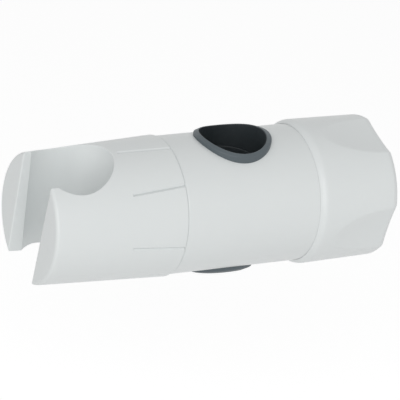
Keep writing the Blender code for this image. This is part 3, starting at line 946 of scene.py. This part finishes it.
@dataclass
class Barrel:
    """The white barrel that rides on the rail, with the ring, the nut and the shoe in it."""

    radius: float = 20.0 * MM
    left_x: float = -21.14 * MM
    right_x: float = 25.0 * MM
    shoulder_round: float = 0.9 * MM
    step_round: float = 0.25 * MM
    neck_radius: float = 17.2 * MM
    neck_bore: float = 14.8 * MM
    neck_end_x: float = 36.0 * MM
    chamfer: float = 0.6 * MM
    left_floor_x: float = -13.9 * MM
    right_floor_x: float = 14.4 * MM
    hole_radius: float = 10.45 * MM
    spigot_end_x: float = -36.505 * MM
    spigot_radius: float = 17.5 * MM
    spigot_bore: float = 13.5 * MM
    hook_groove_x: float = -24.3 * MM
    hook_groove_radius: float = 16.4 * MM
    ring_x: float = -30.4 * MM
    ring_radius: float = 16.8 * MM
    ring_section: float = 1.6 * MM
    ring_gap: float = 0.3 * MM
    ring_side_gap: float = 0.4 * MM
    shoe_half_width: float = 6.5 * MM
    shoe_half_height: float = 7.7 * MM
    shoe_front_x: float = 5.0 * MM
    shoe_back_x: float = 19.5 * MM
    shoe_face_radius: float = 10.1 * MM
    shoe_soft: float = 0.5 * MM
    tip_room_x: float = 12.35 * MM
    tip_room_end_x: float = 16.65 * MM
    tip_room_radius: float = 3.65 * MM
    tip_way_x: float = 16.3 * MM
    tip_way_radius: float = 2.75 * MM
    guide_gap: float = 0.3 * MM
    guide_wall: float = 2.4 * MM
    guide_root: float = 1.2 * MM
    nut_x: float = 24.0 * MM
    nut_end_x: float = 30.5 * MM
    nut_across: float = 13.0 * MM
    nut_wall: float = 3.0 * MM
    nut_lead: float = 1.0 * MM
    thread_bore: float = 4.3 * MM
    reach: float = 4.0 * MM
    segments: int = 240
    row_pitch: float = 1.8 * MM
    round_steps: int = 8
    ring_steps: int = 16

    def blank(self) -> Shape:
        """The turned barrel with its spigot and its neck, before the rail hole.

        Returns:
            The shape.
        """
        groove = self.ring_radius - self.ring_section / 2 - self.ring_gap
        half = self.ring_section / 2 + self.ring_side_gap
        shoulder = (self.left_x + self.shoulder_round, self.radius - self.shoulder_round)
        edge = (self.right_x - self.step_round, self.radius)
        profile = [(self.left_floor_x, 0.0), (self.left_floor_x, self.spigot_bore)]
        profile += [(self.spigot_end_x, self.spigot_bore)]
        profile += [(self.spigot_end_x, self.spigot_radius - self.chamfer)]
        profile += [(self.spigot_end_x + self.chamfer, self.spigot_radius)]
        profile += [(self.ring_x - half, self.spigot_radius), (self.ring_x - half, groove)]
        profile += [(self.ring_x + half, groove), (self.ring_x + half, self.spigot_radius)]
        profile += [(self.hook_groove_x, self.spigot_radius)]
        profile += [(self.hook_groove_x, self.hook_groove_radius)]
        profile += [(self.left_x, self.hook_groove_radius)]
        profile += arc(shoulder, self.shoulder_round, 180, 90, self.round_steps)
        profile += between((shoulder[0], self.radius), edge, self.row_pitch)
        profile += arc(
            (edge[0], edge[1] - self.step_round), self.step_round, 90, 0, self.round_steps // 2)
        profile += [(self.right_x, self.neck_radius)]
        profile += [(self.neck_end_x - self.chamfer, self.neck_radius)]
        profile += [(self.neck_end_x, self.neck_radius - self.chamfer)]
        profile += [(self.neck_end_x, self.neck_bore), (self.right_floor_x, self.neck_bore)]
        profile += [(self.right_floor_x, 0.0)]
        return spun(profile, self.segments)

    def moulding(self) -> Shape:
        """The barrel with its rail hole, the shoe's guide and the nut's pocket.

        Returns:
            The shape.
        """
        guide_y = self.shoe_half_width + self.guide_gap
        guide_z = self.shoe_half_height + self.guide_gap
        pocket_end = self.nut_end_x + self.guide_gap
        box_end = pocket_end + self.nut_wall
        box = block(
            (self.right_floor_x - self.guide_root, -guide_y - self.guide_wall,
             -guide_z - self.guide_wall),
            (box_end, guide_y + self.guide_wall, guide_z + self.guide_wall))
        pocket = hexagon(
            self.nut_x - self.nut_lead, pocket_end, self.nut_across + 2 * self.guide_gap)
        hole = upright_rod(self.hole_radius, self.radius + self.reach)
        bmesh.ops.translate(hole, verts=hole.verts, vec=(RAIL_HOLE_X, 0, 0))
        return combined(self.blank(), [
            (box, Step.JOIN),
            (hole, Step.CUT),
            (block((0, -guide_y, -guide_z), (self.nut_x, guide_y, guide_z)), Step.CUT),
            (pocket, Step.CUT),
            (rod(self.nut_x, box_end + self.reach, self.thread_bore), Step.CUT),
        ])

    def ring(self) -> Shape:
        """The rubber ring on the spigot.

        Returns:
            The shape.
        """
        centre = (self.ring_x, self.ring_radius)
        circle = arc(centre, self.ring_section / 2, 0, 360, self.ring_steps)[:-1]
        return spun(circle, RING_SEGMENTS, closed=True)

    def nut(self) -> Shape:
        """The nut, with its bore countersunk at both ends.

        Returns:
            The shape.
        """
        sink = self.chamfer / 2
        x0, x1, bore = self.nut_x, self.nut_end_x, self.thread_bore
        tool = [(x0 - self.reach, 0.0), (x0 - self.reach, bore + sink), (x0, bore + sink)]
        tool += [(x0 + sink, bore), (x1 - sink, bore), (x1, bore + sink)]
        tool += [(x1 + self.reach, bore + sink), (x1 + self.reach, 0.0)]
        return combined(
            hexagon(x0, x1, self.nut_across, self.chamfer),
            [(spun(tool, ROD_SEGMENTS), Step.CUT)])

    def shoe(self) -> Shape:
        """The pad that presses on the rail, with the room that holds the spindle's tip.

        Returns:
            The shape.
        """
        pad = block(
            (self.shoe_front_x, -self.shoe_half_width, -self.shoe_half_height),
            (self.shoe_back_x, self.shoe_half_width, self.shoe_half_height), self.shoe_soft)
        return combined(pad, [
            (upright_rod(self.shoe_face_radius, 2 * self.shoe_half_height), Step.CUT),
            (rod(self.tip_room_x, self.tip_room_end_x, self.tip_room_radius), Step.CUT),
            (rod(self.tip_way_x, self.shoe_back_x + self.reach, self.tip_way_radius), Step.CUT),
        ])

    def pieces(self) -> list[Piece]:
        """Build the barrel and what it holds.

        Returns:
            The pieces.
        """
        return [
            Piece("barrel_moulding", self.moulding(), "slider_body", "barrel", Slot.WHITE),
            Piece("rubber_ring", self.ring(), "swivel_o_ring", "barrel", Slot.RUBBER),
            Piece("captive_nut", self.nut(), "clamp_nut", "barrel", Slot.BRASS),
            Piece("rail_pad", self.shoe(), "clamp_shoe", "shoe", Slot.NYLON),
        ]


@dataclass
class Bush:
    """A grey flanged bush of the rail hole, whose flange follows the barrel's curve."""

    bore: float = 9.8 * MM
    radius: float = 10.35 * MM
    ledge: float = 0.1 * MM
    ledge_z: float = 12.0 * MM
    end_z: float = 8.6 * MM
    width_along: float = 1.7 * MM
    width_across: float = 1.05 * MM
    rim_along: float = 0.15 * MM
    rim_back: float = 0.2 * MM
    inner_top: float = 21.37 * MM
    outer_top: float = 20.95 * MM
    swell: float = 0.4 * MM
    lean: float = 0.36 * MM
    under: float = 20.06 * MM
    flange_round: float = 0.3 * MM
    segments: int = 192
    round_steps: int = 4

    def profile(self) -> list[Point]:
        """The closed profile of the sleeve and its flange.

        Returns:
            Points of (height, distance from the rail's axis). Heights above the sleeve's top
            are distances from the barrel's axis.
        """
        rim = self.bore + self.width_along
        soft = self.flange_round
        profile = arc((self.inner_top - soft, self.bore + soft), soft, 270, 360, self.round_steps)
        profile += arc((self.outer_top - soft, rim - soft), soft, 0, 90, self.round_steps)
        profile += [(self.under, rim), (self.under, self.radius), (self.end_z, self.radius)]
        profile += [(self.end_z, self.bore - self.ledge), (self.ledge_z, self.bore - self.ledge)]
        profile.append((self.ledge_z + self.ledge, self.bore))
        return profile

    def build(self, side: Side) -> Shape:
        """The bush above or below the barrel's axis.

        Args:
            side: Which of the two it is.

        Returns:
            The shape.
        """
        sign = side.value
        shape = spun(self.profile(), self.segments, closed=True)
        bmesh.ops.rotate(
            shape, verts=shape.verts, cent=(0, 0, 0), matrix=Matrix.Rotation(-math.pi / 2, 3, "Y"))
        flange_start = (self.ledge_z + self.under) / 2
        for vert in shape.verts:
            x, y, z = vert.co
            reach = math.hypot(x, y)
            if z > flange_start and reach > self.radius + SAME_PLACE:
                along = x / reach
                width = self.width_across + (self.width_along - self.width_across) * along ** 2
                share = (reach - self.radius) / (self.bore + self.width_along - self.radius)
                wanted = self.radius + share * (self.bore + width - self.radius)
                vert.co.x = x * wanted / reach + share * self.rim_along
                vert.co.y = y * wanted / reach + share * self.rim_back * sign
            if z > self.under + SAME_PLACE:
                back = vert.co.y / self.bore
                z += self.swell * back ** 2 - self.lean * back * sign
            if z > flange_start:
                vert.co.z = math.sqrt(z ** 2 - vert.co.y ** 2)
            vert.co.z *= sign
            vert.co.x += RAIL_HOLE_X
        bmesh.ops.recalc_face_normals(shape, faces=shape.faces)
        return shape

    def pieces(self) -> list[Piece]:
        """Build both bushes.

        Returns:
            The pieces.
        """
        return [
            Piece("upper_bush", self.build(Side.UPPER), "rail_bush_upper", "barrel", Slot.GREY),
            Piece("lower_bush", self.build(Side.LOWER), "rail_bush_lower", "barrel", Slot.GREY),
        ]


@dataclass
class Knob:
    """The white clamp knob with its four flutes, its cap and the spindle in it."""

    lip_x: float = 21.8 * MM
    end_x: float = 48.0 * MM
    lip_bore: float = 20.07 * MM
    lip_radius: float = 21.2 * MM
    lip_round: float = 3.0 * MM
    end_radius: float = 20.8 * MM
    end_round: float = 2.4 * MM
    flutes: int = 4
    flute_angle: float = math.radians(13.5)
    flute_long: float = 110.0 * MM
    flute_cross: float = 90.0 * MM
    flute_depth: float = 1.9 * MM
    flute_past_end: float = 2.0 * MM
    crease_soft: float = 0.12 * MM
    step_x: float = 27.8 * MM
    neck_bore: float = 17.5 * MM
    bore_end_x: float = 38.8 * MM
    pocket_radius: float = 16.7 * MM
    pocket_end_x: float = 45.2 * MM
    hub_radius: float = 10.0 * MM
    hub_x: float = 36.8 * MM
    thread_bore: float = 4.3 * MM
    cap_seat_x: float = 46.0 * MM
    cap_hole: float = 11.3 * MM
    cap_radius: float = 11.0 * MM
    cap_back_x: float = 46.3 * MM
    cap_dome: float = 0.5 * MM
    cap_round: float = 0.4 * MM
    cap_spigot_x: float = 45.9 * MM
    cap_spigot_radius: float = 5.8 * MM
    head_x: float = 40.3 * MM
    head_end_x: float = 45.6 * MM
    hex_across: float = 13.0 * MM
    head_lap: float = 1.0 * MM
    fit_gap: float = 0.3 * MM
    chamfer: float = 0.6 * MM
    reach: float = 4.0 * MM
    thread_radius: float = 4.0 * MM
    thread_depth: float = 0.75 * MM
    thread_pitch: float = 1.25 * MM
    thread_steepness: float = 1.15
    thread_rows: int = 8
    shank_x: float = 19.8 * MM
    tip_x: float = 16.3 * MM
    tip_start_x: float = 12.7 * MM
    tip_radius: float = 3.3 * MM
    tip_neck_radius: float = 2.4 * MM
    segments: int = 360
    spindle_segments: int = 48
    row_pitch: float = 0.5 * MM
    round_steps: int = 8

    @property
    def lip_sweep(self) -> float:
        """The angle that the lip's rounding fills."""
        return math.acos(1 - (self.lip_radius - self.lip_bore) / self.lip_round)

    @property
    def lip_end_x(self) -> float:
        """Where the lip's rounding meets the knob's cone."""
        return self.lip_x + self.lip_round * math.sin(self.lip_sweep)

    def cone(self, x: float) -> float:
        """Radius of the plain cone at a place along the knob."""
        share = (x - self.lip_end_x) / (self.end_x - self.end_round - self.lip_end_x)
        return self.lip_radius + (self.end_radius - self.lip_radius) * share

    def flute_drop(self, x: float, angle: float) -> float:
        """How far the flutes lower the cone.

        Args:
            x: The place along the knob.
            angle: The angle from the top toward the front.

        Returns:
            The drop, with the crease between flute and cone softened.
        """
        pitch = FULL_TURN / self.flutes
        away = (angle - self.flute_angle + pitch / 2) % pitch - pitch / 2
        deepest_x = self.end_x + self.flute_past_end
        floor = self.end_radius - self.flute_depth
        floor += (x - deepest_x) ** 2 / (2 * self.flute_long)
        bend = math.sin(away) ** 2 / (2 * self.flute_cross)
        root = math.sqrt(math.cos(away) ** 2 - 4 * bend * floor)
        drop = self.cone(x) - 2 * floor / (math.cos(away) + root)
        overlap = max(self.crease_soft - abs(drop), 0.0) / self.crease_soft
        return max(drop, 0.0) + overlap ** 2 * self.crease_soft / 4

    def moulding(self) -> Shape:
        """The knob, whose outside is lowered into the flutes after it is spun.

        Returns:
            The shape.
        """
        stop = self.end_x - self.end_round
        lip_top = (self.lip_end_x, self.lip_radius)
        profile = arc(
            (lip_top[0], lip_top[1] - self.lip_round), self.lip_round,
            90 + math.degrees(self.lip_sweep), 90, self.round_steps)
        profile += between(lip_top, (stop, self.end_radius), self.row_pitch)
        profile += arc(
            (stop, self.end_radius - self.end_round), self.end_round, 90, 0, 2 * self.round_steps)
        profile += [(self.end_x, self.cap_hole), (self.cap_seat_x, self.cap_hole)]
        profile += [(self.cap_seat_x, self.thread_bore), (self.hub_x, self.thread_bore)]
        profile += [(self.hub_x, self.hub_radius), (self.pocket_end_x, self.hub_radius)]
        profile += [(self.pocket_end_x, self.pocket_radius), (self.bore_end_x, self.pocket_radius)]
        profile += [(self.bore_end_x, self.neck_bore), (self.step_x, self.neck_bore)]
        profile += [(self.step_x, self.lip_bore)]
        shape = spun(profile, self.segments, closed=True)
        skin = self.end_radius - self.end_round - 2 * SAME_PLACE
        for vert in shape.verts:
            radius = math.hypot(vert.co.y, vert.co.z)
            inside = self.lip_bore if vert.co.x < self.step_x + SAME_PLACE else skin
            if radius > inside + SAME_PLACE:
                draw_in(vert, 1 - self.flute_drop(vert.co.x, angle_of(vert)) / radius)
        pocket = hexagon(
            self.head_x - self.fit_gap, self.cap_seat_x + self.reach,
            self.hex_across + 2 * self.fit_gap)
        return combined(shape, [(pocket, Step.CUT)])

    def cap(self) -> Shape:
        """The disc that closes the knob's end.

        Returns:
            The shape.
        """
        rim = (self.end_x - self.cap_round, self.cap_radius - self.cap_round)
        profile = [(self.cap_spigot_x, 0.0), (self.cap_spigot_x, self.cap_spigot_radius)]
        profile += [(self.cap_back_x, self.cap_spigot_radius), (self.cap_back_x, self.cap_radius)]
        profile += arc(rim, self.cap_round, 90, 0, self.round_steps)
        for step in range(self.round_steps, -1, -1):
            share = step / (self.round_steps + 1)
            rise = self.cap_dome * (1 - share ** 2)
            profile.append((self.end_x + rise, rim[1] * share))
        return spun(profile, RING_SEGMENTS)

    def spindle(self) -> Shape:
        """The hex-headed screw, with its thread and the tip that snaps in the shoe.

        Returns:
            The shape.
        """
        crest, soft, pitch = self.thread_radius, self.chamfer, self.thread_pitch
        thread_start, thread_end = self.shank_x + soft, self.head_x - soft
        profile = [(self.tip_start_x, 0.0), (self.tip_start_x, self.tip_radius - soft)]
        profile += [(self.tip_start_x + soft, self.tip_radius), (self.tip_x, self.tip_radius)]
        profile += [(self.tip_x, self.tip_neck_radius), (self.shank_x, self.tip_neck_radius)]
        profile += [(self.shank_x, crest - soft), (thread_start, crest)]
        profile += between((thread_start, crest), (thread_end, crest), pitch / self.thread_rows)
        shank_end = self.head_x + self.head_lap
        profile += [(thread_end, crest), (shank_end, crest), (shank_end, 0.0)]
        shape = spun(profile, self.spindle_segments)
        for vert in shape.verts:
            radius = math.hypot(vert.co.y, vert.co.z)
            inside = thread_start < vert.co.x < thread_end
            if inside and radius > crest - SAME_PLACE:
                phase = (vert.co.x / pitch - angle_of(vert) / FULL_TURN) % 1.0
                groove = max(0.0, 1.0 - abs(2 * phase - 1) * self.thread_steepness)
                runout = min(
                    1.0, (vert.co.x - thread_start) / pitch, (thread_end - vert.co.x) / pitch)
                draw_in(vert, 1 - runout * groove * self.thread_depth / crest)
        head = hexagon(self.head_x, self.head_end_x, self.hex_across, self.chamfer)
        return combined(shape, [(head, Step.JOIN)])

    def pieces(self) -> list[Piece]:
        """Build the knob, its cap and its spindle.

        Returns:
            The pieces.
        """
        return [
            Piece("knob_moulding", self.moulding(), "clamp_knob", "knob", Slot.WHITE),
            Piece("end_cap", self.cap(), "knob_cap", "knob", Slot.WHITE),
            Piece("threaded_spindle", self.spindle(), "clamp_spindle", "knob", Slot.ZINC),
        ]


@dataclass(frozen=True)
class Lamp:
    """A soft rectangular lamp that faces the holder."""

    name: str
    place: tuple[float, float, float]
    size: float
    power: float

    def build(self) -> None:
        """Put the lamp in the scene."""
        light = bpy.data.lights.new(self.name, "AREA")
        light.shape = "SQUARE"
        light.size = self.size
        light.energy = self.power
        item = placed(self.name, light)
        item.location = self.place
        item.rotation_mode = "QUATERNION"
        item.rotation_quaternion = (-Vector(self.place)).to_track_quat("-Z", "Y")


@dataclass
class Studio:
    """The plain pale surroundings, the lamps and the camera at the photograph's angle."""

    floor_z: float = -130.0 * MM
    floor_half: float = 3.0
    floor_colour: Colour = (0.80, 0.80, 0.80)
    floor_lift: float = 0.45
    world_strength: float = 0.583
    lamps: tuple[Lamp, ...] = (
        Lamp("key", place=(-0.58, -0.96, 0.43), size=1.0, power=6.4),
        Lamp("fill", place=(0.9, -0.7, 0.2), size=0.9, power=0.25))
    camera_place: tuple[float, float, float] = (-0.461, -0.7637, 0.452)
    camera_back: tuple[float, float, float] = (-0.4555, -0.7662, 0.4532)
    camera_up: tuple[float, float, float] = (0.0931, 0.4653, 0.8802)
    lens: float = 310.5
    sensor: float = 36.0
    clip_start: float = 0.05

    def world(self) -> None:
        """Even light from all round, white to the camera and in reflections."""
        world = bpy.data.worlds.new("studio")
        graph = Graph(world)
        even, white = [
            graph.node("ShaderNodeBackground", {}, {"Color": (1, 1, 1, 1), "Strength": strength})
            for strength in (self.world_strength, 1.0)]
        mixed = graph.node(
            "ShaderNodeMixShader", {}, {0: graph.white_to_viewer(), 1: even, 2: white})
        graph.node("ShaderNodeOutputWorld", {}, {"Surface": mixed})
        bpy.context.scene.world = world

    def floor(self) -> None:
        """A pale floor below the holder, lifted to white for the camera, with the shadow kept."""
        shape = bmesh.new()
        bmesh.ops.create_grid(shape, x_segments=2, y_segments=2, size=self.floor_half)
        bmesh.ops.translate(shape, verts=shape.verts, vec=(0, 0, self.floor_z))
        mesh = meshed("floor", shape)
        graph = Graph(bpy.data.materials.new("pale floor"))
        matt = graph.node("ShaderNodeBsdfDiffuse", {}, {"Color": (*self.floor_colour, 1.0)})
        glow = graph.node("ShaderNodeEmission", {}, {
            "Color": (1, 1, 1, 1), "Strength": self.floor_lift})
        lifted = graph.node("ShaderNodeAddShader", {}, {0: matt, 1: glow})
        mixed = graph.node(
            "ShaderNodeMixShader", {}, {0: graph.white_to_viewer(), 1: matt, 2: lifted})
        graph.node("ShaderNodeOutputMaterial", {}, {"Surface": mixed})
        mesh.materials.append(graph.owner)
        item = placed("floor", mesh)

    def camera(self) -> None:
        """The camera where the photograph was taken from."""
        data = bpy.data.cameras.new("photo")
        data.lens = self.lens
        data.sensor_width = self.sensor
        data.clip_start = self.clip_start
        item = placed("photo", data)
        back = Vector(self.camera_back).normalized()
        right = Vector(self.camera_up).cross(back).normalized()
        up = back.cross(right)
        turn = Matrix((right, up, back)).transposed()
        item.matrix_world = Matrix.Translation(self.camera_place) @ turn.to_4x4()
        bpy.context.scene.camera = item

    def build(self) -> None:
        """Build the surroundings, the lamps and the camera."""
        self.world()
        self.floor()
        for lamp in self.lamps:
            lamp.build()
        self.camera()
        bpy.context.scene.view_settings.view_transform = "Standard"


def main() -> None:
    """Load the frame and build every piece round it."""
    logging.basicConfig(level=logging.INFO, format="%(message)s")
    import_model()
    Studio().build()
    workshop = Workshop()
    for part in (Cradle(), Barrel(), Bush(), Knob()):
        for piece in part.pieces():
            workshop.mount(piece)


if __name__ == "__main__":
    main()
